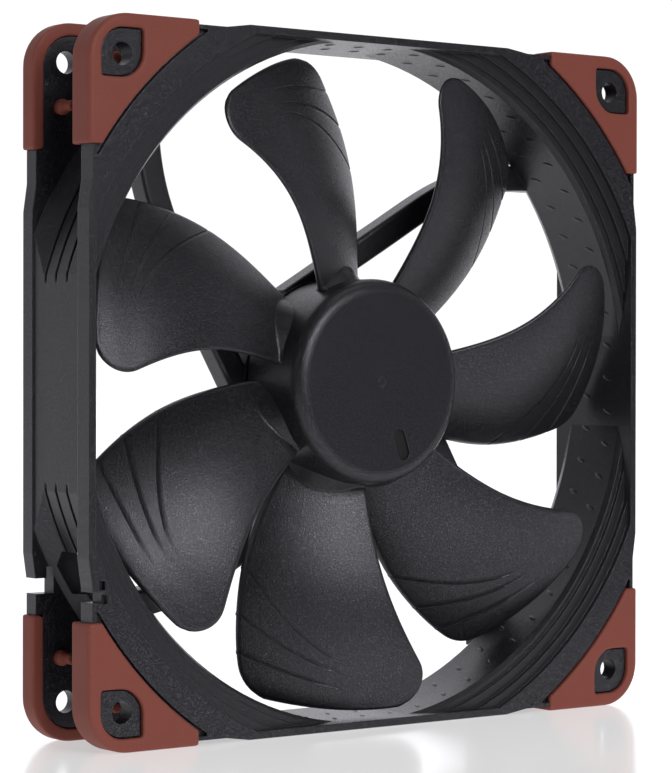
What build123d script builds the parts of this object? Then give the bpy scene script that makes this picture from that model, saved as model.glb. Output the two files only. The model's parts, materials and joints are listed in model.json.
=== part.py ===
from build123d import *
import os
from math import cos, radians, sin, sqrt

os.makedirs("parts", exist_ok=True)

# Axial case fan.  X is to the right and Z is up, seen from the intake side.
# The impeller spins about Y, with the intake face at -Y and the exhaust at +Y.
# The origin is on the spin axis, halfway through the depth.

# ---------------------------------------------------------------- driving dimensions, mm
side = 140.0                # over the corner pads
depth = 25.0                # over the corner pads
hole_pitch = 124.5          # between mounting holes
hole_radius = 2.2
pad_rim = 1.0               # rubber over the flange's edges

# frame
face_y = 12.1               # the frame's front and rear faces are at -face_y and +face_y
front_flange_in = -7.9      # inner face of the front flange
rear_flange_in = 8.6
pocket_drop = 1.1           # depth of the corner pockets that the pads sit in
boss_drop = 0.5             # the screw bosses' faces, below the frame's face
land_half = 69.8            # half width over the straight middle of each side
land_length = 66.0
corner_half = side / 2 - pad_rim
corner_radius = 8.0
wall_half = 69.45           # the duct's outer wall, where it is flattened
bore_half = 68.3            # the duct's inner wall, where it is flattened
duct_outer = 72.5
duct_flare = 75.0
duct_taper = 5.0            # where the duct's outside starts to widen to the rear
duct_inner = 69.0
outlet_radius = 73.7
outlet_round = 9.0
step_radii = (75.1, 73.1, 70.9)      # stepped inlet, from the face inwards
step_depths = (-11.0, -10.0, -9.3)
inlet_chamfer = (0.7, 1.1)           # radial and axial
flare_start = 7.2
groove_depths = (-3.6, 0.4, 4.2)     # grooves round the outside of the duct
groove_size = (1.0, 0.8)
mark_circle, mark_radius, mark_deep = 78.0, 1.35, 0.15      # ejector marks
mark_first, mark_apart = 31, 28      # degrees
# Slots at the lower left where a lead leaves the strut and passes the flanges: centre, size.
cable_slots = (
    ((-68.0, 11.0, -39.4), (6.0, 6.0, 3.0)),
    ((-65.8, 11.0, -38.3), (1.6, 6.0, 5.2)),
    ((-68.6, -10.0, -40.3), (4.4, 6.0, 2.0)),
    ((-66.9, -12.1, -38.0), (1.3, 2.2, 1.7)),
    ((-66.4, -12.1, -40.7), (1.3, 2.2, 1.7)),
    ((-60.5, 2.8, -36.9), (9.0, 9.0, 8.4)),
)
lead_width, lead_front = 2.4, 9.4    # channel for the lead in one strut

# corner pads
pad_leg = 45.0              # the legs end at this distance from the centre lines
pad_arc = 80.7              # concave side of the triangle
pocket_arc = 80.2
pocket_start, pocket_end = 43.0, 68.2
window = 9.5                # leaf-shaped window round a screw boss
window_centre = 62.55
window_round = 5.2
window_fit = 0.25           # gap round the boss
lip_width = 2.5
front_lip = -5.9            # where the pads' rims end
rear_lip = 8.1
rebate_depth, rebate_past = 1.0, 0.5     # step in the rear flange for the pads' lips
rim_round = 0.7
peg_across, peg_along = 63.6, 53.5
peg_radius, barb_radius, tail_radius = 1.3, 1.6, 1.1
barb_length, tail_length = 1.6, 5.0

# motor mount and struts
mount_radius = 21.2
mount_front = 6.4
mount_floor = 10.4
mount_cavity = 19.5
strut_front = 6.7
strut_width = 5.5
strut_round = 0.8
# Centre line of the first strut, from the mount outwards.
strut_path = ((-9.6, 16.4), (10.0, 27.7), (20.0, 33.4), (30.0, 39.0), (40.0, 42.7),
              (50.0, 44.2), (60.0, 44.2))
label_radius, label_thick = 19.0, 0.2

# hub and blades
hub_radius = 20.95
hub_inner = 19.0
hub_front, hub_plate, hub_rear = -11.1, -9.5, 6.0
hub_round = 2.9
gate_length, gate_width, gate_deep = 6.5, 2.9, 0.4
gate_place, gate_turn = (5.3, -12.7, 0.0), -72.0
blade_count = 7
blade_turn = 13.7           # the first blade leans this far past straight up
tip_radius = 67.0
lead_tip, trail_tip = 29.8, 9.6       # how far across the two tip corners are
lead_round, trail_round = 6.0, 8.5
# Stations along a blade: height, leading edge across and deep, trailing edge across and
# deep, thickness and camber.
blade_stations = (
    (15.0, 4.6, -2.8, -8.5, 3.0, 2.8, 0.6),
    (28.0, 7.2, -6.0, -12.5, 5.1, 2.4, 1.2),
    (40.0, 11.5, -9.0, -14.4, 5.5, 2.0, 2.0),
    (52.0, 20.3, -10.6, -13.7, 5.5, 1.7, 2.8),
    (62.0, 27.2, -9.2, -10.8, 4.9, 1.5, 3.2),
    (70.0, 31.4, -8.3, -6.6, 4.5, 1.4, 3.2),
)
trim = 1.5                  # the blank is this much longer than the blade at each edge

# motor
yoke_thick = 1.0
yoke_rear = 5.0
magnet_outer, magnet_inner = 18.0, 16.6
magnet_front, magnet_rear = -6.0, 4.5
core_radius, core_hub = 16.1, 7.6
core_front, core_rear = -4.0, 3.0
poles = 4
pole_width, shoe_inner = 4.4, 13.9
slot_gap = 2.6              # opening between neighbouring pole shoes
insulator = 0.9
coil_width, coil_thick = 10.4, 2.0
tube_outer, tube_inner, tube_front = 5.0, 4.0, -6.0
shell_inner, sleeve_bore = 3.0, 1.55
shell_floor = 0.8
sleeve_front, sleeve_rear = -3.6, 6.4
seal_bore, seal_front, seal_rear = 1.8, -5.2, -4.2
pull_bore, pull_front, pull_rear = 2.0, 7.6, 8.8        # axial magnet
thrust_front = 9.0
bush_end = -6.6
shaft_radius = 1.5
shaft_end = 8.7
clip_y, clip_thick, clip_radius, clip_groove = 6.9, 0.3, 2.2, 1.2
board_front, board_rear, board_radius = 7.4, 8.4, 18.2
pin_radius, pin_circle, pin_past = 0.4, 14.4, 0.7
chip_size, chip_height = (6.0, 4.4), 1.4
sensor_size, sensor_height = (3.0, 1.6), 1.5
small_part_height = 0.9


# ---------------------------------------------------------------- helpers
def at(y):
    """Plane square to the spin axis; its x and y are the fan's X and Z."""
    return Plane.XZ.offset(-y)


def save(piece, name):
    piece.part.label = name
    export_step(piece.part, f"parts/{name}.step")


def turned(piece, angle):
    """A copy turned about the spin axis, anticlockwise seen from the intake side."""
    return piece.part.rotate(Axis.Y, -angle)


def ring(outer, inner, front, rear):
    """Plain ring or disc about the spin axis."""
    with BuildPart() as piece:
        with BuildSketch(at(front)):
            Circle(outer)
            if inner:
                Circle(inner, mode=Mode.SUBTRACT)
        extrude(amount=front - rear)
    return piece


def leaf(size, radius):
    """Square with its outer and inner corners rounded, in the +X +Z quadrant."""
    with BuildSketch(mode=Mode.PRIVATE) as shape:
        Rectangle(size, size)
        fillet(shape.vertices().filter_by(lambda v: v.X * v.Y > 0), radius)
    return shape.sketch.moved(Location((window_centre, window_centre, 0)))


def corner_square(low, high, radius):
    """Square from low to high in the +X +Z quadrant, with its outer corner rounded."""
    with BuildSketch(mode=Mode.PRIVATE) as shape:
        with Locations((low, low)):
            Rectangle(high - low, high - low, align=(Align.MIN, Align.MIN))
        fillet(shape.vertices().sort_by(lambda v: v.X + v.Y)[-1], radius)
    return shape.sketch


# ---------------------------------------------------------------- frame
def flange(front, rear):
    """Square flange, slightly wider along the middle of each side."""
    slope = 5.5
    with BuildPart() as piece:
        with BuildSketch(at(front)):
            RectangleRounded(2 * corner_half, 2 * corner_half, corner_radius)
            low, half = corner_half - 1, land_length / 2
            with PolarLocations(0, 4):
                Polygon((-half - slope, low), (-half - slope, corner_half), (-half, land_half),
                        (half, land_half), (half + slope, corner_half), (half + slope, low),
                        align=None)
        extrude(amount=front - rear)
    return piece


def duct_body():
    """Round wall between the flanges, flattened on four sides and grooved."""
    with BuildPart() as piece:
        with BuildSketch(Plane.XY):
            Polygon((0, -face_y), (duct_outer, -face_y), (duct_outer, duct_taper),
                    (duct_flare, rear_flange_in), (duct_flare, face_y), (0, face_y), align=None)
        revolve(axis=Axis.Y)
        with BuildSketch(Plane.XY):
            for y in groove_depths:
                with Locations((duct_outer, y)):
                    Rectangle(*groove_size)
        revolve(axis=Axis.Y, mode=Mode.SUBTRACT)
        Box(2 * wall_half, 2 * face_y, 2 * wall_half, mode=Mode.INTERSECT)
    return piece


def bore():
    """Air passage: stepped inlet, straight wall and flared outlet, with four flats."""
    past = face_y + 1
    with BuildPart() as piece:
        with BuildSketch(Plane.XY):
            with BuildLine():
                outline = [(0, -past), (step_radii[0], -past)]
                for radius, y in zip(step_radii, step_depths):
                    outline += [(radius, outline[-1][1]), (radius, y)]
                outline += [(duct_inner + inlet_chamfer[0], step_depths[-1]),
                            (duct_inner, step_depths[-1] + inlet_chamfer[1]),
                            (duct_inner, flare_start)]
                Polyline(*dict.fromkeys(outline))
                RadiusArc((duct_inner, flare_start), (outlet_radius, face_y), outlet_round)
                Polyline((outlet_radius, face_y), (outlet_radius, past), (0, past), (0, -past))
            make_face()
        revolve(axis=Axis.Y)
        Box(2 * bore_half, 2 * past, 2 * bore_half, mode=Mode.INTERSECT)
    return piece


def pocket(face, floor, boss_face):
    """What is cut away at a corner for a pad: the pocket, and the top of the screw boss."""
    pocket_side = pocket_end - pocket_start
    boss = leaf(window - 2 * window_fit, window_round - window_fit)
    with BuildPart() as piece:
        with BuildSketch(at(face)):
            with Locations((pocket_start, pocket_start)):
                Rectangle(pocket_side, pocket_side, align=(Align.MIN, Align.MIN))
            with Locations((pad_leg, pad_leg)):
                Rectangle(side / 2 - pad_leg, side / 2 - pad_leg, align=(Align.MIN, Align.MIN))
            Circle(pocket_arc, mode=Mode.SUBTRACT)
            add(boss, mode=Mode.SUBTRACT)
        extrude(amount=face - floor)
        with BuildSketch(at(face)):
            add(boss)
        extrude(amount=face - boss_face)
    return piece


def lip_rebate():
    """Step along the rear flange's inner edge that takes the rear pad's lip."""
    with BuildPart() as piece:
        with BuildSketch(at(rear_flange_in - rebate_past)):
            add(corner_square(pad_leg, side / 2, corner_radius + pad_rim))
            inner = side / 2 - lip_width - 0.1
            add(corner_square(pad_leg - 5, inner, corner_radius - lip_width + 1),
                mode=Mode.SUBTRACT)
        extrude(amount=-rebate_past - rebate_depth)
    return piece


def corner_holes():
    """Mounting hole and the two peg holes of a corner, through both flanges."""
    with BuildPart() as piece:
        with BuildSketch(at(-depth)):
            with Locations((hole_pitch / 2, hole_pitch / 2)):
                Circle(hole_radius)
            with Locations((peg_across, peg_along), (peg_along, peg_across)):
                Circle(peg_radius)
        extrude(amount=-2 * depth)
    return piece


def strut_band(width, front, corner=0.0):
    """Curved strut from the motor mount to the duct, or a channel along it."""
    middle = Edge.make_spline([Vector(*place) for place in strut_path])
    sides = []
    for half in (width / 2, -width / 2):
        sides.append([])
        for step in range(9):
            tangent = middle.tangent_at(step / 8)
            place = middle.position_at(step / 8)
            sides[-1].append((place.X - tangent.Y * half, place.Y + tangent.X * half))
    with BuildPart() as piece:
        with BuildSketch(at(face_y)):
            with BuildLine():
                Spline(*sides[0])
                Line(sides[0][-1], sides[1][-1])
                Spline(*reversed(sides[1]))
                Line(sides[1][0], sides[0][0])
            make_face()
        extrude(amount=face_y - front)
        if corner:
            fillet(piece.edges().filter_by(lambda e: e.length > 20), corner)
        with BuildSketch(at(depth)):
            Circle(duct_inner + 2)
        extrude(amount=2 * depth, mode=Mode.INTERSECT)
    return piece


def motor_mount():
    """Cup behind the hub, with the bearing tube standing in it and a label recess."""
    with BuildPart() as piece:
        with BuildSketch(Plane.XY):
            Polygon((0, mount_floor), (tube_inner, mount_floor), (tube_inner, tube_front),
                    (tube_outer, tube_front), (tube_outer, mount_floor),
                    (mount_cavity, mount_floor), (mount_cavity, mount_front),
                    (mount_radius, mount_front), (mount_radius, face_y),
                    (label_radius + 0.1, face_y), (label_radius + 0.1, face_y - label_thick),
                    (0, face_y - label_thick), align=None)
        revolve(axis=Axis.Y)
    return piece


def cable_outlet():
    """The slots for the lead, as one tool to cut with."""
    with BuildPart() as piece:
        for place, size in cable_slots:
            with Locations(place):
                Box(*size)
    return piece


with BuildPart() as frame:
    add(duct_body().part)
    add(flange(-face_y, front_flange_in).part)
    add(flange(rear_flange_in, face_y).part)
    add(bore().part, mode=Mode.SUBTRACT)
    strut = strut_band(strut_width, strut_front, strut_round)
    for quarter in range(4):
        add(turned(strut, 90 * quarter))
    with BuildSketch(at(0)):
        Circle(mount_cavity)
    extrude(amount=depth, both=True, mode=Mode.SUBTRACT)
    add(motor_mount().part)
    cuts = [pocket(-face_y, pocket_drop - face_y, boss_drop - face_y),
            pocket(face_y, face_y - pocket_drop, face_y - boss_drop), lip_rebate(),
            corner_holes()]
    for quarter in range(4):
        for cut in cuts:
            add(turned(cut, 90 * quarter), mode=Mode.SUBTRACT)
    with BuildSketch(at(-face_y)):          # ejector marks
        for quarter in range(4):
            with PolarLocations(mark_circle, 2, start_angle=mark_first + 90 * quarter,
                                angular_range=mark_apart, endpoint=True):
                Circle(mark_radius)
    extrude(amount=-mark_deep, mode=Mode.SUBTRACT)
    add(cable_outlet().part, mode=Mode.SUBTRACT)
    add(turned(strut_band(lead_width, lead_front), 180), mode=Mode.SUBTRACT)
save(frame, "frame")


# ---------------------------------------------------------------- corner pads
def peg(start, into):
    """Peg through a flange, with a barb on the far side and a tail to pull it by."""
    direction = 1 if into > start else -1
    with BuildPart() as piece:
        for radius, low, high in ((peg_radius, start, into),
                                  (barb_radius, into, into + direction * barb_length),
                                  (tail_radius, into, into + direction * tail_length)):
            with BuildSketch(at(low)):
                with Locations((peg_across, peg_along), (peg_along, peg_across)):
                    Circle(radius)
            extrude(amount=low - high)
    return piece


def pad(face, floor, flange_in, lip_seat, lip):
    """Rubber pad on the +X +Z corner of a flange."""
    outer_round = corner_radius + pad_rim
    start = pad_leg - 5
    with BuildPart() as piece:
        with BuildSketch(at(face)):
            add(corner_square(pad_leg, side / 2, outer_round))
            Circle(pad_arc, mode=Mode.SUBTRACT)
            add(leaf(window, window_round), mode=Mode.SUBTRACT)
        extrude(amount=face - floor)
        with BuildSketch(at(floor)):
            add(corner_square(pad_leg, side / 2, outer_round))
            add(corner_square(start, corner_half, corner_radius), mode=Mode.SUBTRACT)
        extrude(amount=floor - lip)
        with BuildSketch(at(lip_seat)):
            add(corner_square(pad_leg, side / 2, outer_round))
            add(corner_square(start, side / 2 - lip_width, outer_round - lip_width),
                mode=Mode.SUBTRACT)
            with BuildLine():
                Polyline((pad_leg, 60), (pad_leg, corner_half - 0.2), (pad_leg + 2, 60), close=True)
            make_face(mode=Mode.SUBTRACT)
            with BuildLine():
                Polyline((60, pad_leg), (corner_half - 0.2, pad_leg), (60, pad_leg + 2), close=True)
            make_face(mode=Mode.SUBTRACT)
        extrude(amount=lip_seat - lip)
        rim_edges = piece.edges().filter_by(
            lambda e: abs(e.center().Y - face) < 0.01 and
            max(abs((e @ 0).X), abs((e @ 0).Z)) > 69.9 and max(abs((e @ 1).X), abs((e @ 1).Z)) > 69.9
            and min(abs(e.center().X), abs(e.center().Z)) > pad_leg + 0.1)
        fillet(rim_edges, rim_round)
        add(peg(floor, flange_in).part)
    return piece


corners = ("top_right", "top_left", "bottom_left", "bottom_right")
front_pad = pad(-depth / 2, pocket_drop - face_y, front_flange_in, front_flange_in, front_lip)
rear_pad = pad(depth / 2, face_y - pocket_drop, rear_flange_in, rear_flange_in + rebate_depth,
               rear_lip)
for quarter, corner in enumerate(corners):
    for end, master in (("front", front_pad), ("rear", rear_pad)):
        with BuildPart() as corner_pad:
            add(turned(master, 90 * quarter))
        save(corner_pad, f"pad_{end}_{corner}")


# ---------------------------------------------------------------- impeller
def blade_outline():
    """Outline of a blade seen along the spin axis, the blade standing straight up."""
    lead = [(-station[1], station[0]) for station in blade_stations[:4]]
    trail = [(-station[3], station[0]) for station in blade_stations[:4]]
    lead_end = (-lead_tip, sqrt(tip_radius**2 - lead_tip**2))
    trail_end = (trail_tip, sqrt(tip_radius**2 - trail_tip**2))
    with BuildSketch(mode=Mode.PRIVATE) as shape:
        with BuildLine():
            Spline(*lead, lead_end)
            ThreePointArc(lead_end, (0, tip_radius), trail_end)
            Spline(trail_end, *reversed(trail))
            Line(trail[0], lead[0])
        make_face()
        tips = shape.vertices().filter_by(lambda v: v.Y > 55).sort_by(Axis.X)
        fillet(tips[0], lead_round)
        fillet(shape.vertices().filter_by(lambda v: v.Y > 62).sort_by(Axis.X)[-1], trail_round)
    return shape.sketch


def blade_section(height, lead_x, lead_y, trail_x, trail_y, thick, camber):
    """Cambered section of a blade at one height, hollow side to the rear."""
    chord = sqrt((lead_x - trail_x)**2 + (trail_y - lead_y)**2)
    along = ((lead_x - trail_x) / chord, (trail_y - lead_y) / chord)
    front_side, rear_side = [], []
    for share in (0.0, 0.25, 0.5, 0.75, 1.0):
        reach = -trim + share * (chord + 2 * trim)
        bow = camber * 4 * share * (1 - share)
        half = thick / 2 * (0.55 + 1.8 * share * (1 - share))
        x, y = -lead_x + reach * along[0], lead_y + reach * along[1]
        front_side.append((x + along[1] * (bow + half), y - along[0] * (bow + half)))
        rear_side.append((x + along[1] * (bow - half), y - along[0] * (bow - half)))
    with BuildSketch(Plane.XY.offset(height)) as section:
        with BuildLine():
            Spline(*front_side)
            Line(front_side[-1], rear_side[-1])
            Spline(*reversed(rear_side))
            Line(rear_side[0], front_side[0])
        make_face()
    return section.sketch


with BuildPart() as blade:
    loft(sections=[blade_section(*station) for station in blade_stations])
    with BuildSketch(at(-depth)):
        add(blade_outline())
    extrude(amount=-2 * depth, mode=Mode.INTERSECT)
    with BuildSketch(at(-depth)):
        Circle(hub_inner + 0.7)
    extrude(amount=-2 * depth, mode=Mode.SUBTRACT)

with BuildPart() as impeller:
    with BuildSketch(at(hub_front)):
        Circle(hub_radius)
    extrude(amount=hub_front - hub_rear)
    fillet(impeller.edges().sort_by(Axis.Y)[0], hub_round)
    with BuildSketch(at(hub_plate)):
        Circle(hub_inner)
    extrude(amount=-depth, mode=Mode.SUBTRACT)
    for number in range(blade_count):
        add(turned(blade, blade_turn - number * 360 / blade_count))
    with BuildSketch(at(hub_front)):            # gate recess
        with Locations(Location(gate_place, (0, 0, gate_turn))):
            SlotOverall(gate_length, gate_width)
    extrude(amount=-gate_deep, mode=Mode.SUBTRACT)
save(impeller, "impeller")

# ---------------------------------------------------------------- rotor
with BuildPart() as rotor_yoke:
    with BuildSketch(Plane.XY):
        inner = hub_inner - yoke_thick
        Polygon((tube_inner, hub_plate), (hub_inner, hub_plate), (hub_inner, yoke_rear),
                (inner, yoke_rear), (inner, hub_plate + yoke_thick),
                (tube_inner, hub_plate + yoke_thick), align=None)
    revolve(axis=Axis.Y)
save(rotor_yoke, "rotor_yoke")

save(ring(magnet_outer, magnet_inner, magnet_front, magnet_rear), "rotor_magnet")
save(ring(tube_inner, shaft_radius, hub_plate, bush_end), "shaft_bush")

with BuildPart() as shaft:
    with BuildSketch(Plane.XY):
        Polygon((0, hub_plate), (shaft_radius, hub_plate), (shaft_radius, clip_y),
                (clip_groove, clip_y), (clip_groove, clip_y + clip_thick),
                (shaft_radius, clip_y + clip_thick), (shaft_radius, shaft_end - 0.4),
                (shaft_radius - 0.5, shaft_end), (0, shaft_end), align=None)
    revolve(axis=Axis.Y)
save(shaft, "shaft")

with BuildPart() as retaining_clip:
    with BuildSketch(at(clip_y)):
        Circle(clip_radius)
        Circle(clip_groove, mode=Mode.SUBTRACT)
        with Locations((clip_radius, 0)):
            Rectangle(2 * clip_radius, 0.5, mode=Mode.SUBTRACT)
    extrude(amount=-clip_thick)
save(retaining_clip, "retaining_clip")

# ---------------------------------------------------------------- bearing
with BuildPart() as bearing_shell:
    with BuildSketch(Plane.XY):
        Polygon((shell_inner, tube_front + 0.3), (tube_inner, tube_front + 0.3),
                (tube_inner, mount_floor), (0, mount_floor), (0, mount_floor - shell_floor),
                (shell_inner, mount_floor - shell_floor), align=None)
    revolve(axis=Axis.Y)
save(bearing_shell, "bearing_shell")

save(ring(shell_inner, seal_bore, seal_front, seal_rear), "oil_seal")
save(ring(shell_inner, sleeve_bore, sleeve_front, sleeve_rear), "bearing_sleeve")
save(ring(shell_inner, pull_bore, pull_front, pull_rear), "axial_magnet")
save(ring(shell_inner, 0, thrust_front, mount_floor - shell_floor), "thrust_plate")


# ---------------------------------------------------------------- stator
def pole_shape(front, rear, width, hub, shoe):
    """Four-pole outline between two depths: hub ring, legs and curved shoes."""
    with BuildPart() as piece:
        with BuildSketch(at(front)):
            Circle(core_radius)
            Circle(shoe, mode=Mode.SUBTRACT)
            with PolarLocations(0, poles, start_angle=45):
                with Locations((core_radius, 0)):
                    Rectangle(core_radius, slot_gap, mode=Mode.SUBTRACT)
            with PolarLocations(core_radius / 2, poles):
                Rectangle(core_radius - 1, width)
            Circle(hub)
            Circle(tube_outer, mode=Mode.SUBTRACT)
        extrude(amount=front - rear)
    return piece


save(pole_shape(core_front, core_rear, pole_width, core_hub, shoe_inner), "stator_core")
save(pole_shape(core_front - insulator, core_front, pole_width + 1, core_hub + 0.6,
                shoe_inner + 0.4), "stator_insulator_front")
save(pole_shape(core_rear, core_rear + insulator, pole_width + 1, core_hub + 0.6,
                shoe_inner + 0.4), "stator_insulator_rear")

coil_inner = core_hub + 0.7
coil_outer = shoe_inner - 1.3
coil_front = core_front - insulator - coil_thick
coil_rear = core_rear + insulator + coil_thick
with BuildPart() as stator_coils:
    for quarter in range(poles):
        with BuildPart(mode=Mode.PRIVATE) as coil:
            with BuildSketch(Plane.YZ.offset(coil_inner)):
                middle = (coil_front + coil_rear) / 2
                with Locations((middle, 0)):
                    RectangleRounded(coil_rear - coil_front, coil_width, 1.8)
                with Locations(((core_front + core_rear) / 2, 0)):
                    Rectangle(core_rear - core_front + 2 * insulator, pole_width + 1,
                              mode=Mode.SUBTRACT)
            extrude(amount=coil_outer - coil_inner)
        add(turned(coil, 90 * quarter))
save(stator_coils, "stator_coils")

pin_angles = (45, 135, 225)


def pin_places():
    return [(pin_circle * cos(radians(a)), pin_circle * sin(radians(a))) for a in pin_angles]


with BuildPart() as winding_pins:
    with BuildSketch(at(core_rear + insulator)):
        with Locations(*pin_places()):
            Circle(pin_radius)
    extrude(amount=core_rear + insulator - board_rear - pin_past)
save(winding_pins, "winding_pins")

with BuildPart() as circuit_board:
    with BuildSketch(at(board_front)):
        Circle(board_radius)
        Circle(tube_outer + 0.2, mode=Mode.SUBTRACT)
        with Locations(*pin_places()):
            Circle(pin_radius, mode=Mode.SUBTRACT)
    extrude(amount=board_front - board_rear)
save(circuit_board, "circuit_board")

with BuildPart() as driver_chip:
    with BuildSketch(at(board_rear)):
        with Locations((0, -11.5)):
            Rectangle(*chip_size)
    extrude(amount=-chip_height)
save(driver_chip, "driver_chip")

with BuildPart() as hall_sensor:
    with BuildSketch(at(board_front)):
        with Locations((0, 15.8)):
            Rectangle(*sensor_size)
    extrude(amount=sensor_height)
save(hall_sensor, "hall_sensor")

with BuildPart() as board_parts:
    with BuildSketch(at(board_rear)):
        with GridLocations(17.0, 4.0, 2, 2):
            Rectangle(2.0, 1.3)
        with Locations((-7.0, 9.5), (7.0, 9.5)):
            Rectangle(3.2, 1.6)
    extrude(amount=-small_part_height)
save(board_parts, "board_parts")

save(ring(label_radius, 0, face_y - label_thick, face_y), "rear_label")
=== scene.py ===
import json
from math import cos, pi, radians, sin

import bmesh
import bpy
import numpy as np
from mathutils import Matrix, Vector
from mathutils.bvhtree import BVHTree


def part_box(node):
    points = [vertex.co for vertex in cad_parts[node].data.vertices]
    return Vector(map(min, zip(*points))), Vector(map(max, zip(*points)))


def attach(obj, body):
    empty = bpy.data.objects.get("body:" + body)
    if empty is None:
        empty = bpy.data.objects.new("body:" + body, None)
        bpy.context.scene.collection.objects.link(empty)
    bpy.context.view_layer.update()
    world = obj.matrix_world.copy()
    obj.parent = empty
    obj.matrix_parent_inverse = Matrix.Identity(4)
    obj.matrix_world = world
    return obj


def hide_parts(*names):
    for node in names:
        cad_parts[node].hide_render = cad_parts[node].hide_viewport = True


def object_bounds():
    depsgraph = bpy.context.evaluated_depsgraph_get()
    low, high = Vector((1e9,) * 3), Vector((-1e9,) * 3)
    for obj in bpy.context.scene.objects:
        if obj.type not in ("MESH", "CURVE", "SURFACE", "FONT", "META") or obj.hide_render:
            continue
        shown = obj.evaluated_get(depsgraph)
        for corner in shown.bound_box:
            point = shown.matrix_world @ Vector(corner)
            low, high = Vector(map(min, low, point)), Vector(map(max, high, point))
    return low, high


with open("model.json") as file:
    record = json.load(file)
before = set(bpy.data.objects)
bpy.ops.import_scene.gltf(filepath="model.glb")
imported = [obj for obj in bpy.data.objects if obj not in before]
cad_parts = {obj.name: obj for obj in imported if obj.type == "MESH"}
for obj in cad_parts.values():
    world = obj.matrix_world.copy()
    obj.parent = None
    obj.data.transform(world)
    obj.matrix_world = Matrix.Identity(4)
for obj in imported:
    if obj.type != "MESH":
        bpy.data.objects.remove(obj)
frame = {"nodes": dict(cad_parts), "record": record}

cad_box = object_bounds()
nodes = frame["nodes"]
MM = 0.001

# ------------------------------------------------------------ sizes taken from the frame
low, high = cad_box
side = high.z - low.z                      # the fan is square, 140 mm over its pads
floor_z = low.z
hub_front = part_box("impeller")[0].y


# ------------------------------------------------------------ mesh helpers
def add_piece(name, vertices, faces):
    """A new smooth-shaded mesh object from points in millimetres."""
    mesh = bpy.data.meshes.new(name)
    mesh.from_pydata([tuple(float(c) * MM for c in v) for v in vertices], [],
                     [tuple(int(i) for i in face) for face in faces])
    mesh.validate()
    mesh.shade_smooth()
    piece = bpy.data.objects.new(name, mesh)
    bpy.context.scene.collection.objects.link(piece)
    return piece


def grid_faces(rows, columns, start=0, closed=False):
    """Quads over a grid of points stored row by row."""
    faces = []
    for i in range(rows - 1):
        for j in range(columns if closed else columns - 1):
            k = (j + 1) % columns
            a, b = start + i * columns, start + (i + 1) * columns
            faces.append((a + j, a + k, b + k, b + j))
    return faces


def smooth_step(value, low, high):
    share = np.clip((value - low) / (high - low), 0, 1)
    return share * share * (3 - 2 * share)


# ------------------------------------------------------------ impeller
blade_count = 7
blade_upright = radians(103.7)             # where the first blade stands, from +X
blade_tip = 67.0
lead_round, trail_round, tip_round = 0.75, 0.5, 0.6
# The hub's outer and inner radius and the rounding of its rim, then the depths of its face,
# of the back of its front plate and of its open end.
hub_radius, hub_wall, hub_round = 20.95, 19.0, 2.9
hub_face, hub_plate, hub_back = hub_front / MM, -9.5, 6.0
# Channels in the outer part of a blade, each deepening outwards up to a small wall. A line is
# the wall's height at channel_centre, on a blade that points straight up, and how fast it
# bends down from there. The channels fade in over channel_fade, which ends 1 mm before that.
channel_lines = ((57.5, 0.0268), (59.4, 0.0147), (62.3, 0.0072))
channel_depth, channel_run, channel_centre, channel_wall = 0.30, 0.8, 10.0, 0.10
channel_fade = 8
# The web at a blade's root: its size, how far it leans to one edge, and how full it is.
gusset_size, gusset_lean, gusset_power = 2.8, 1.6, 0.8
root_fillet, root_fade = 0.9, 1.2
gate_place, gate_length, gate_width, gate_turn = (5.3, -12.7), 6.5, 2.9, radians(-72)
gate_steps = ((0.12, 0), (0.03, 0.04), (0, 0.14), (-0.05, 0.5))     # growth and depth
centre_ring = ((1.15, 0), (1.0, 0.04), (0.85, 0.04), (0.7, 0), (0.01, 0))
sharp_angle = radians(50)                  # edges of the impeller that bend more stay sharp


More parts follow.
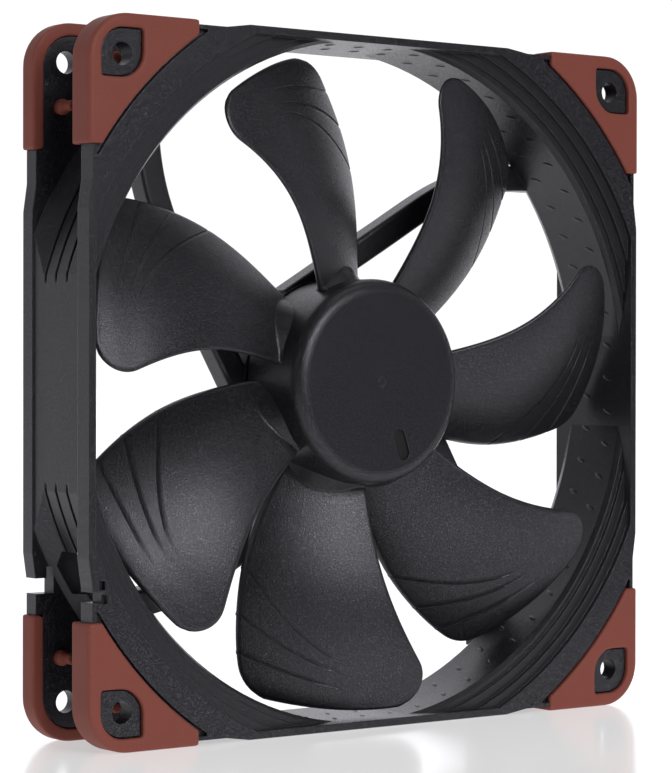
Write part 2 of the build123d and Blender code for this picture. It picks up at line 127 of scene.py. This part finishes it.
class BladeShape:
    """The CAD blade as smooth functions of radius and of the share across it."""
    first_radius, last_radius, radius_step = 21.8, 66.8, 0.75
    near_tip = 66.93
    start_radius = 45                      # here the first blade surely covers its own angle
    edge_step = 0.05                       # first step of the search for an edge, in radians
    fit_centre, fit_reach, fit_order = 44, 24, (6, 6)

    def __init__(self):
        mesh = nodes["impeller"].data
        self.tree = BVHTree.FromPolygons([v.co.copy() for v in mesh.vertices],
                                         [tuple(p.vertices) for p in mesh.polygons])
        radii = np.concatenate([np.arange(self.first_radius, self.last_radius, self.radius_step),
                                (self.last_radius, self.near_tip)])
        begin = int(np.argmin(np.abs(radii - self.start_radius)))
        lead, trail = np.zeros(len(radii)), np.zeros(len(radii))
        for order in (range(begin, len(radii)), range(begin, -1, -1)):
            inside = blade_upright
            for i in order:
                lead[i] = self.edge(radii[i], inside, self.edge_step)
                trail[i] = self.edge(radii[i], inside, -self.edge_step)
                inside = (lead[i] + trail[i]) / 2
        self.radii, self.lead, self.trail = radii, lead, trail
        across = np.linspace(0.03, 0.97, 14)
        places, depths = [], []
        for i in range(0, len(radii) - 2, 2):
            for share in across:
                angle = lead[i] + share * (trail[i] - lead[i])
                found = self.depths(radii[i], angle)
                if found:
                    places.append((radii[i], share))
                    depths.append(found)
        places, depths = np.array(places), np.array(depths)
        terms = self.terms(places[:, 0], places[:, 1])
        front, rear = depths[:, 0], depths[:, 1]
        self.middle_fit = np.linalg.lstsq(terms, (front + rear) / 2, rcond=None)[0]
        self.half_fit = np.linalg.lstsq(terms, (rear - front) / 2, rcond=None)[0]

    def depths(self, radius, angle):
        """Depths of the front and rear surfaces, in millimetres, or None off the blade."""
        x, z = radius * cos(angle) * MM, radius * sin(angle) * MM
        front = self.tree.ray_cast(Vector((x, -1, z)), Vector((0, 1, 0)))[0]
        rear = self.tree.ray_cast(Vector((x, 1, z)), Vector((0, -1, 0)))[0]
        return (front.y / MM, rear.y / MM) if front and rear else None

    def edge(self, radius, angle, step):
        """The angle where the blade ends, going from a place on it."""
        while self.depths(radius, angle + step):
            angle += step
        for _ in range(14):
            step /= 2
            if self.depths(radius, angle + step):
                angle += step
        return angle

    @classmethod
    def terms(cls, radius, share):
        """Chebyshev terms of places on the blade."""
        radius = (np.asarray(radius) - cls.fit_centre) / cls.fit_reach
        share = 2 * np.asarray(share) - 1
        return np.polynomial.chebyshev.chebvander2d(radius, share, cls.fit_order)

    def surface(self, radius, share):
        """Middle depth and half thickness of the blade."""
        terms = self.terms(radius, share)
        return terms @ self.middle_fit, terms @ self.half_fit


def beyond_channel(across, height, top, bend):
    """How far out from a channel's line a place on the upright blade is."""
    curved = height - (top - bend * (channel_centre - across) ** 2)
    level = np.hypot(across, height) - np.hypot(channel_centre, top)
    return np.where(across < channel_centre, curved, level)


def channel_relief(across, height):
    """How far the front surface steps back, for places on the upright blade."""
    relief = np.zeros_like(across)
    fade = np.clip((channel_centre - 1 - across) / channel_fade, 0, 1)
    for top, bend in channel_lines:
        outside = beyond_channel(across, height, top, bend)
        wall = 1 - smooth_step(outside, -channel_wall, channel_wall)
        relief += channel_depth * wall * np.clip(1 + outside / channel_run, 0, 1) * fade
    return relief


def upright_place(radius, angle):
    """Across and height of a place when its blade points straight up."""
    upright = angle - blade_upright + pi / 2
    return -radius * np.cos(upright), radius * np.sin(upright)


class BladeColumns:
    """Shares across the blade, finer near its edges, at any radius."""
    near_edge = np.array((0.0, 0.04, 0.12, 0.26, 0.45, 0.72))
    inner = np.linspace(0, 1, 54)[1:-1]
    count = 2 * len(near_edge) + len(inner)

    def __init__(self, shape):
        self.shape = shape

    def ends(self, radius):
        """Angles of the leading and trailing edges."""
        known = self.shape.radii
        below = np.minimum(radius - known[0], 0)
        found = []
        for edge in (self.shape.lead, self.shape.trail):
            slope = (edge[3] - edge[0]) / (known[3] - known[0])
            found.append(np.interp(radius, known, edge) + slope * below)
        return found

    def place(self, radius):
        """Share, angle and chord in every column, for one radius a column."""
        lead, trail = self.ends(radius)
        chord = radius * (lead - trail)
        first, last = len(self.near_edge), self.count - len(self.near_edge)
        rim = self.near_edge[-1] / chord[first:last]
        share = np.concatenate([self.near_edge / chord[:first],
                                rim + self.inner * (1 - 2 * rim),
                                1 - self.near_edge[::-1] / chord[last:]])
        return share, lead + share * (trail - lead), chord


def blade_rows(columns):
    """Radii row by row and column by column; rows run along the channel lines."""
    begin, end = 33.0, 66.0                # rows between these follow the channels
    in_hub, at_root, near_root = (19.5, 20.2), 25.5, 25.9
    fine_step, wide_step = 0.28, 0.9
    before_wall, beyond_walls = (26, 7, 7), 8
    past_wall = 0.2
    inner = np.concatenate([in_hub, np.arange(hub_radius, at_root, fine_step),
                            np.arange(near_root, begin, wide_step)])
    tip = np.array((66.1, 66.35, 66.55, 66.7, 66.82, 66.92, 66.98, blade_tip))
    tried = np.linspace(begin, end, 400)
    places = [columns.place(np.full(columns.count, radius)) for radius in tried]
    angles = np.array([angle for _, angle, _ in places])
    across, height = upright_place(tried[:, None], angles)
    walls = []
    wall_levels = (-channel_run, -channel_run / 2, -past_wall, -channel_wall, channel_wall,
                   past_wall)
    for top, bend in channel_lines:
        outside = np.maximum.accumulate(beyond_channel(across, height, top, bend), axis=0)
        walls.append([[np.interp(level, outside[:, j], tried) for j in range(columns.count)]
                      for level in wall_levels])
    rows = [np.full(columns.count, radius) for radius in inner]
    previous = np.full(columns.count, begin)
    for count, wall in zip(before_wall, np.array(walls)):
        rows += [previous + (wall[0] - previous) * step / count for step in range(count)]
        rows += list(wall[:-1])
        previous = wall[-1]
    rows += [previous + (end - previous) * step / beyond_walls
             for step in range(beyond_walls + 1)]
    rows += [np.full(columns.count, radius) for radius in tip]
    return np.array(rows)


def blade_grids(shape):
    """Front and rear surfaces of the first blade: points row by row, and the row count."""
    columns = BladeColumns(shape)
    radius = blade_rows(columns)
    shares, angle, chord = (np.array(part) for part in zip(*map(columns.place, radius)))
    middle, half = shape.surface(radius.ravel(), shares.ravel())
    middle, half = middle.reshape(radius.shape), half.reshape(radius.shape)
    known = shape.radii
    lean_lead, lean_trail = (1 / np.sqrt(1 + (radius * np.interp(
        radius, known, np.gradient(edge, known))) ** 2) for edge in (shape.lead, shape.trail))
    to_lead = shares * chord * lean_lead
    to_trail = (1 - shares) * chord * lean_trail
    to_tip = blade_tip - radius

    def rounded(distance, size):
        return np.sqrt(np.clip(1 - (1 - np.clip(distance / size, 0, 1)) ** 2, 0, 1))

    half = (half * rounded(to_lead, lead_round) * rounded(to_trail, trail_round)
            * rounded(to_tip, tip_round))
    relief = channel_relief(*upright_place(radius, angle))
    lead_clear, trail_clear, tip_clear = 4, 5, 1.5       # the channels' relief fades in here
    clear = np.clip(to_lead / lead_clear, 0, 1) * np.clip(to_tip / tip_clear, 0, 1)
    out = radius - hub_radius
    web = gusset_size * np.sin(pi * shares ** gusset_lean) ** gusset_power - out
    root = np.where(out < root_fillet, root_fillet - np.sqrt(np.clip(
        root_fillet ** 2 - (root_fillet - np.clip(out, 0, root_fillet)) ** 2, 0, None)), 0)
    inside = rounded(to_lead, root_fade) * rounded(to_trail, root_fade)
    front = middle - half + relief * clear
    front -= inside * np.maximum(np.clip(web, 0, None), root)
    rear = (middle + half + relief * clear * np.clip(1 - to_trail / trail_clear, 0, 1)
            + inside * root)
    x, z = radius * np.cos(angle), radius * np.sin(angle)
    return [np.stack([x, y, z], axis=-1).reshape(-1, 3) for y in (front, rear)], radius.shape


def turned_points(points, angle):
    """Points turned about the spin axis, clockwise seen from the front."""
    x, y, z = points.T
    return np.stack([x * cos(angle) + z * sin(angle), y, z * cos(angle) - x * sin(angle)], axis=1)


def hub_mesh(mesh, floor_index):
    """Adds the hub: cup with a rounded rim, a gate recess and a faint ring at its centre."""
    around, levels = 168, 9
    pin_hole, corner, mouth, back_round, back_cut = 0.01, 0.3, 0.2, 0.25, 0.07
    spread = np.linspace(0, 2 * pi, around, endpoint=False)
    bend = np.linspace(0, pi / 2, levels)
    inner_face = hub_radius - hub_round
    profile = [(pin_hole, hub_plate), (hub_wall - corner, hub_plate),
               (hub_wall, hub_plate + corner), (hub_wall, hub_back - mouth),
               (hub_wall + mouth, hub_back), (hub_radius - back_round, hub_back),
               (hub_radius - back_cut, hub_back - back_cut),
               (hub_radius, hub_back - back_round)]
    profile += [(hub_radius, y)
                for y in np.linspace(hub_back - 1, hub_face + hub_round, levels)]
    profile += [(inner_face + hub_round * cos(a), hub_face + hub_round * (1 - sin(a)))
                for a in bend[1:]]

    def loop(radius, y):
        return [mesh.verts.new((radius * cos(a) * MM, y * MM, radius * sin(a) * MM))
                for a in spread]

    def join(first, second, index=0):
        for j in range(len(first)):
            k = (j + 1) % len(first)
            face = mesh.faces.new((first[j], first[k], second[k], second[j]))
            face.smooth, face.material_index = True, index

    loops = [loop(r, y) for r, y in profile]
    for first, second in zip(loops, loops[1:]):
        join(first, second)
    mesh.faces.new(loops[0])
    ring = [loop(r, hub_face + y) for r, y in centre_ring]
    for first, second in zip(ring, ring[1:]):
        join(first, second)
    mesh.faces.new(ring[-1])
    ring_rim = set(ring[0])
    straight = (gate_length - gate_width) / 2

    def gate(grow, y):
        points = []
        for end in (1, -1):
            for a in np.linspace(-pi / 2, pi / 2, 12):
                u = end * (straight + (gate_width / 2 + grow) * cos(a))
                v = end * (gate_width / 2 + grow) * sin(a)
                points.append(mesh.verts.new((
                    (gate_place[0] + u * cos(gate_turn) - v * sin(gate_turn)) * MM, y * MM,
                    (gate_place[1] + u * sin(gate_turn) + v * cos(gate_turn)) * MM)))
        return points

    recess = [gate(grow, hub_face + y) for grow, y in gate_steps]
    for first, second in zip(recess, recess[1:]):
        join(first, second)
    # The recess's floor gets its own darker material, painted shade.
    floor_face = mesh.faces.new(recess[-1])
    floor_face.material_index = floor_index
    edges = []
    for rim in (loops[-1], recess[0], ring[0]):
        for j in range(len(rim)):
            edges.append(mesh.edges.get((rim[j], rim[(j + 1) % len(rim)])))
    bmesh.ops.triangle_fill(mesh, use_beauty=True, use_dissolve=False, edges=edges,
                            normal=(0, -1, 0))
    for edge in mesh.edges:
        if all(v in ring_rim for v in edge.verts):
            edge.smooth = False


def make_impeller(materials):
    """The hub and its seven blades as one finely shaped moulding."""
    (front, rear), (rows, columns) = blade_grids(BladeShape())
    count = rows * columns
    faces = [f[::-1] for f in grid_faces(rows, columns)] + grid_faces(rows, columns, count)
    faces += [(j + 1, j + count + 1, j + count, j) for j in range(columns - 1)]
    mesh = bmesh.new()
    for number in range(blade_count):
        places = turned_points(np.concatenate([front, rear]), number * 2 * pi / blade_count)
        verts = [mesh.verts.new(tuple(float(c) * MM for c in place)) for place in places]
        for face in faces:
            mesh.faces.new([verts[i] for i in face]).smooth = True
    same_place = 1e-6
    bmesh.ops.remove_doubles(mesh, verts=mesh.verts, dist=same_place)
    blade_faces = set(mesh.faces)
    hub_mesh(mesh, floor_index=1)
    bmesh.ops.recalc_face_normals(mesh, faces=[f for f in mesh.faces if f not in blade_faces])
    for edge in mesh.edges:
        if len(edge.link_faces) == 2 and edge.calc_face_angle() > sharp_angle:
            edge.smooth = False
    data = bpy.data.meshes.new("impeller_moulding")
    mesh.to_mesh(data)
    mesh.free()
    piece = bpy.data.objects.new("impeller_moulding", data)
    bpy.context.scene.collection.objects.link(piece)
    data.materials.append(materials["impeller_plastic"])
    data.materials.append(materials["gate_floor_painted_shade"])
    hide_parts("impeller")
    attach(piece, "rotor")


# ------------------------------------------------------------ corner pads
def make_pads(materials):
    """Each rubber pad again as one soft-edged moulding."""
    voxel, softness, rounds, kept_share = 0.34, 0.5, 5, 0.35
    for entry in frame["record"]["subparts"]:
        name = entry["node"]
        if not name.startswith("pad_"):
            continue
        piece = bpy.data.objects.new(name + "_rubber", nodes[name].data.copy())
        bpy.context.scene.collection.objects.link(piece)
        piece.data.materials.clear()
        piece.data.materials.append(materials["pad_rubber"])
        whole = piece.modifiers.new("whole", "REMESH")
        whole.mode, whole.voxel_size, whole.use_smooth_shade = "VOXEL", voxel * MM, True
        soft = piece.modifiers.new("soft", "SMOOTH")
        soft.factor, soft.iterations = softness, rounds
        fewer = piece.modifiers.new("fewer", "DECIMATE")
        fewer.ratio = kept_share
        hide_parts(name)
        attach(piece, "stator")


# ------------------------------------------------------------ duct wall
def make_dimples(materials):
    """Two staggered rows of small slanting bumps round the inside of the duct."""
    wall, flat, count = 69.0, 68.3, 60
    length, width, rise, lean = 1.4, 0.55, 0.16, 0.35    # lengths and widths are halves
    around = 12
    rings = ((1.0, -0.05), (0.8, 0.55), (0.45, 0.9), (0.12, 1.0))     # share of size, of rise
    vertices, faces = [], []
    for depth, first in ((-4.6, 48.5), (2.2, 45.3)):
        for number in range(count):
            angle = radians(first + number * 360 / count)
            out = min(wall, flat / max(abs(cos(angle)), abs(sin(angle))))
            start = len(vertices)
            for ring, level in rings:
                for step in range(around):
                    turn = step * 2 * pi / around
                    along = ring * (length * cos(turn))
                    side_way = ring * (width * sin(turn)) + lean * along
                    radius = out - rise * level
                    spot = angle + side_way / wall
                    vertices.append((radius * cos(spot), depth + along, radius * sin(spot)))
            faces += grid_faces(len(rings), around, start, closed=True)
            top = start + (len(rings) - 1) * around
            faces.append(tuple(top + step for step in range(around)))
    piece = add_piece("duct_dimples", vertices, faces)
    piece.data.materials.append(materials["frame_plastic"])
    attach(piece, "stator")


# ------------------------------------------------------------ camera
def make_camera():
    """The camera stands to the left of the intake side, level with the hub."""
    azimuth, elevation, roll = radians(-37.06), radians(0.53), radians(0.09)
    distance, across, above = 4.063 * side, -0.0161 * side, -0.0070 * side
    back = Vector((sin(azimuth) * cos(elevation), -cos(azimuth) * cos(elevation), sin(elevation)))
    right = Vector((cos(azimuth), sin(azimuth), 0))
    up = back.cross(right)
    data = bpy.data.cameras.new("camera")
    data.lens = 128.7
    data.sensor_width = 36
    data.clip_start, data.clip_end = 0.05, 50
    camera = bpy.data.objects.new("camera", data)
    bpy.context.scene.collection.objects.link(camera)
    tilted_right = right * cos(roll) + up * sin(roll)
    tilted_up = up * cos(roll) - right * sin(roll)
    turn = Matrix((tilted_right, tilted_up, back)).transposed().to_4x4()
    camera.matrix_world = Matrix.Translation(back * distance + right * across + up * above) @ turn
    bpy.context.scene.camera = camera


# ------------------------------------------------------------ node material helpers
class Shader:
    """A small builder for one node material."""

    def __init__(self, name):
        self.material = bpy.data.materials.new(name)
        self.material.use_nodes = True
        self.tree = self.material.node_tree
        self.surface = self.tree.nodes["Principled BSDF"]
        self.place = self.add("ShaderNodeTexCoord").outputs["Object"]

    def add(self, kind, **values):
        node = self.tree.nodes.new(kind)
        for key, value in values.items():
            setattr(node, key, value)
        return node

    def link(self, start, end):
        self.tree.links.new(start, end)

    def noise(self, size_mm, detail=2.0, rough=0.5):
        """Noise whose lumps are about size_mm across."""
        node = self.add("ShaderNodeTexNoise")
        node.inputs["Scale"].default_value = 1 / (size_mm * MM)
        node.inputs["Detail"].default_value = detail
        node.inputs["Roughness"].default_value = rough
        self.link(self.place, node.inputs["Vector"])
        return node.outputs["Fac"]

    def ramp(self, value, stops):
        """Colour ramp; stops are (position, grey or colour)."""
        node = self.add("ShaderNodeValToRGB")
        points = node.color_ramp.elements
        while len(points) < len(stops):
            points.new(0.5)
        for point, (position, colour) in zip(points, stops):
            point.position = position
            point.color = (*colour, 1) if isinstance(colour, tuple) else (colour,) * 3 + (1,)
        self.link(value, node.inputs["Fac"])
        return node.outputs["Color"]

    def mix(self, share, first, second):
        """Colour mix; a colour Mix node has its share at input 0, its colours at 6 and 7."""
        node = self.add("ShaderNodeMix", data_type="RGBA")
        for socket, value in ((node.inputs[0], share), (node.inputs[6], first),
                              (node.inputs[7], second)):
            if hasattr(value, "links"):
                self.link(value, socket)
            else:
                socket.default_value = (*value, 1) if isinstance(value, tuple) else value
        return node.outputs[2]

    def bump(self, height, depth_mm, strength):
        node = self.add("ShaderNodeBump")
        node.inputs["Strength"].default_value = strength
        node.inputs["Distance"].default_value = depth_mm * MM
        self.link(height, node.inputs["Height"])
        previous = self.surface.inputs["Normal"].links
        if previous:
            self.link(previous[0].from_socket, node.inputs["Normal"])
        self.link(node.outputs["Normal"], self.surface.inputs["Normal"])

    def soften_edges(self, radius_mm):
        """Light catches sharp edges as if they were slightly rounded."""
        node = self.add("ShaderNodeBevel", samples=6)
        node.inputs["Radius"].default_value = radius_mm * MM
        self.link(node.outputs["Normal"], self.surface.inputs["Normal"])

    def set(self, **values):
        for key, value in values.items():
            socket = self.surface.inputs[key.replace("_", " ")]
            if hasattr(value, "links"):
                self.link(value, socket)
            else:
                socket.default_value = (*value, 1) if isinstance(value, tuple) else value


def black_plastic(name, edge_mm=0.0):
    """Black glass-filled plastic: flecks of glass at its surface sparkle in the light."""
    shader = Shader(name)
    if edge_mm:
        shader.soften_edges(edge_mm)
    roughness = 0.27
    fine = shader.noise(0.25, detail=3, rough=0.7)
    broad = shader.noise(9.0)
    fleck = shader.ramp(fine, [(0.51, 0.0), (0.63, 0.50)])
    base = shader.mix(broad, (0.0075, 0.0072, 0.0095), (0.0105, 0.0102, 0.0130))
    shader.set(Base_Color=shader.mix(fleck, base, (0.20, 0.20, 0.225)), Metallic=fleck,
               Roughness=shader.ramp(fine, [(0.3, roughness + 0.06), (0.7, roughness - 0.04)]))
    shader.surface.inputs["Specular Tint"].default_value = (0.93, 0.92, 1.0, 1)
    shader.bump(fine, 0.06, 0.9)
    return shader.material


def pad_rubber():
    """Brown-red silicone rubber with a dull, faintly mottled surface."""
    shader = Shader("pad_rubber")
    broad, fine = shader.noise(6.0, detail=4), shader.noise(0.5, detail=3)
    base = shader.mix(broad, (0.225, 0.054, 0.038), (0.255, 0.063, 0.044))
    shader.set(Base_Color=shader.mix(shader.ramp(fine, [(0.35, 0.0), (0.75, 0.3)]), base,
                                     (0.28, 0.080, 0.058)),
               Roughness=shader.ramp(broad, [(0.3, 0.62), (0.7, 0.54)]))
    shader.surface.inputs["Specular IOR Level"].default_value = 0.35
    shader.bump(fine, 0.04, 0.5)
    return shader.material


def plain_metal(name, colour, dark, rough, lump=0.6):
    """Machined or drawn metal, lightly streaked."""
    shader = Shader(name)
    grain = shader.noise(lump, detail=4)
    shader.set(Base_Color=shader.mix(grain, dark, colour), Metallic=1.0,
               Roughness=shader.ramp(grain, [(0.3, rough), (0.7, rough + 0.12)]))
    shader.bump(grain, 0.02, 0.4)
    return shader.material


def plain_plastic(name, colour, dark, rough, lump=0.8):
    """Moulded plastic, board or ceramic with a faint mottle."""
    shader = Shader(name)
    grain = shader.noise(lump, detail=3)
    shader.set(Base_Color=shader.mix(grain, dark, colour),
               Roughness=shader.ramp(grain, [(0.3, rough), (0.7, rough + 0.1)]))
    shader.bump(grain, 0.03, 0.4)
    return shader.material


def make_materials():
    return {
        "frame_plastic": black_plastic("frame_plastic", edge_mm=0.3),
        "impeller_plastic": black_plastic("impeller_plastic"),
        # Darker and duller than the hub's own plastic: painted shade on the floor of the gate
        # recess.
        "gate_floor_painted_shade": plain_plastic("gate_floor_painted_shade", (0.006, 0.006, 0.007), (0.004, 0.004, 0.005),
                                    0.75),
        "pad_rubber": pad_rubber(),
        "steel": plain_metal("steel", (0.5, 0.5, 0.52), (0.38, 0.38, 0.4), 0.35),
        "shaft_steel": plain_metal("shaft_steel", (0.68, 0.68, 0.7), (0.6, 0.6, 0.62), 0.15),
        "brass": plain_metal("brass", (0.78, 0.56, 0.24), (0.66, 0.45, 0.18), 0.25),
        "sintered_bronze": plain_metal("sintered_bronze", (0.5, 0.32, 0.16),
                                       (0.34, 0.21, 0.1), 0.5, 0.2),
        "lamination": plain_metal("lamination", (0.36, 0.36, 0.38), (0.24, 0.24, 0.25), 0.45),
        "pin_metal": plain_metal("pin_metal", (0.75, 0.75, 0.76), (0.6, 0.6, 0.62), 0.3),
        "magnet": plain_plastic("magnet", (0.07, 0.07, 0.075), (0.04, 0.04, 0.045), 0.6),
        "clip_plastic": plain_plastic("clip_plastic", (0.8, 0.8, 0.74), (0.7, 0.7, 0.64), 0.35),
        "seal_plastic": plain_plastic("seal_plastic", (0.05, 0.05, 0.05), (0.03, 0.03, 0.03), 0.5),
        "insulator_plastic": plain_plastic("insulator_plastic", (0.76, 0.72, 0.6),
                                           (0.66, 0.62, 0.5), 0.5),
        "copper": plain_plastic("copper", (0.62, 0.24, 0.08), (0.42, 0.14, 0.04), 0.25, 0.25),
        "board": plain_plastic("board", (0.02, 0.2, 0.08), (0.012, 0.12, 0.05), 0.3),
        "chip": plain_plastic("chip", (0.04, 0.04, 0.04), (0.025, 0.025, 0.025), 0.55),
        "ceramic": plain_plastic("ceramic", (0.5, 0.38, 0.25), (0.36, 0.26, 0.16), 0.45),
        "label": plain_plastic("label", (0.06, 0.06, 0.065), (0.045, 0.045, 0.05), 0.4),
    }


def dress_nodes(materials):
    """Gives every CAD node the material of its slot in the record."""
    for entry in frame["record"]["subparts"]:
        mesh = nodes[entry["node"]].data
        mesh.materials.clear()
        mesh.materials.append(materials[entry["material_slot"]])


# ------------------------------------------------------------ studio
# How bright the room is, from the camera's side to the backdrop, and the soft boxes: name,
# azimuth and height above the horizon in degrees, distance, width, height, brightness.
room_light = ((0.36, 0.02), (0.66, 0.29), (0.95, 1.0))
soft_boxes = (
    ("front", -1, 24, 1.1, 0.72, 0.44, 6.0),
    ("right_side", 94, 9, 1.0, 0.22, 0.34, 3.2),
    ("left_side", -98, 18, 1.0, 0.50, 0.60, 1.2),
    ("overhead", 60, 78, 1.0, 0.70, 0.70, 0.8),
)


def make_studio():
    """White floor that shines by itself, a white surround, and a dimmer room in front."""
    world = bpy.data.worlds.new("studio")
    bpy.context.scene.world = world
    world.use_nodes = True
    tree = world.node_tree
    tree.nodes.clear()
    link = tree.links.new

    def add(kind, **values):
        node = tree.nodes.new(kind)
        for key, value in values.items():
            node.inputs[key].default_value = value
        return node

    shown = add("ShaderNodeBackground", Color=(1, 1, 1, 1), Strength=1.05)
    lit = add("ShaderNodeBackground")
    toward = tree.nodes.new("ShaderNodeVectorMath")
    toward.operation = "DOT_PRODUCT"
    toward.inputs[1].default_value = (0.6, 0.8, 0.0)         # the bright backdrop
    spread = add("ShaderNodeMapRange", **{"From Min": -1, "From Max": 1})
    ramp = add("ShaderNodeValToRGB")
    stops = ramp.color_ramp.elements
    stops.new(0.5)
    for point, (position, grey) in zip(stops, room_light):
        point.position = position
        point.color = (grey, grey, grey * 1.04, 1)
    choose, out = add("ShaderNodeMixShader"), add("ShaderNodeOutputWorld")
    link(add("ShaderNodeTexCoord").outputs["Generated"], toward.inputs[0])
    link(toward.outputs["Value"], spread.inputs["Value"])
    link(spread.outputs["Result"], ramp.inputs["Fac"])
    link(ramp.outputs["Color"], lit.inputs["Color"])
    link(add("ShaderNodeLightPath").outputs["Is Camera Ray"], choose.inputs[0])
    link(lit.outputs[0], choose.inputs[1])
    link(shown.outputs[0], choose.inputs[2])
    link(choose.outputs[0], out.inputs["Surface"])

    mesh = bpy.data.meshes.new("floor")
    reach = 40 * side
    mesh.from_pydata([(-reach, -reach, floor_z), (reach, -reach, floor_z),
                      (reach, reach, floor_z), (-reach, reach, floor_z)], [], [(0, 1, 2, 3)])
    floor = bpy.data.objects.new("floor", mesh)
    bpy.context.scene.collection.objects.link(floor)
    shader = Shader("floor_white")
    haze = shader.noise(400.0)
    shader.set(Base_Color=shader.mix(haze, (0.59, 0.59, 0.60), (0.61, 0.61, 0.62)),
               Roughness=0.16)
    shader.surface.inputs["Specular IOR Level"].default_value = 0.5
    shader.surface.inputs["Emission Color"].default_value = (1, 1, 1, 1)
    place = shader.add("ShaderNodeSeparateXYZ")
    shader.link(shader.place, place.inputs[0])
    fade = shader.add("ShaderNodeMapRange", interpolation_type="SMOOTHSTEP")
    for key, value in (("From Min", -1.6 * side), ("From Max", -0.45 * side), ("To Max", 0.5)):
        fade.inputs[key].default_value = value
    shader.link(place.outputs["Y"], fade.inputs["Value"])
    shader.set(Emission_Strength=fade.outputs["Result"])
    mesh.materials.append(shader.material)


def make_lights():
    for name, azimuth, height, distance, wide, tall, bright in soft_boxes:
        data = bpy.data.lights.new(name, "AREA")
        data.shape = "RECTANGLE"
        data.size, data.size_y = wide, tall
        data.energy = bright * pi * wide * tall
        light = bpy.data.objects.new(name, data)
        bpy.context.scene.collection.objects.link(light)
        turn, rise = radians(azimuth), radians(height)
        place = Vector((sin(turn) * cos(rise), -cos(turn) * cos(rise), sin(rise))) * distance
        light.location = place
        light.rotation_mode = "QUATERNION"
        light.rotation_quaternion = (-place).to_track_quat("-Z", "Y")


materials = make_materials()
dress_nodes(materials)
make_impeller(materials)
make_pads(materials)
make_dimples(materials)
make_camera()
make_studio()
make_lights()
bpy.context.scene.view_settings.view_transform = "Standard"
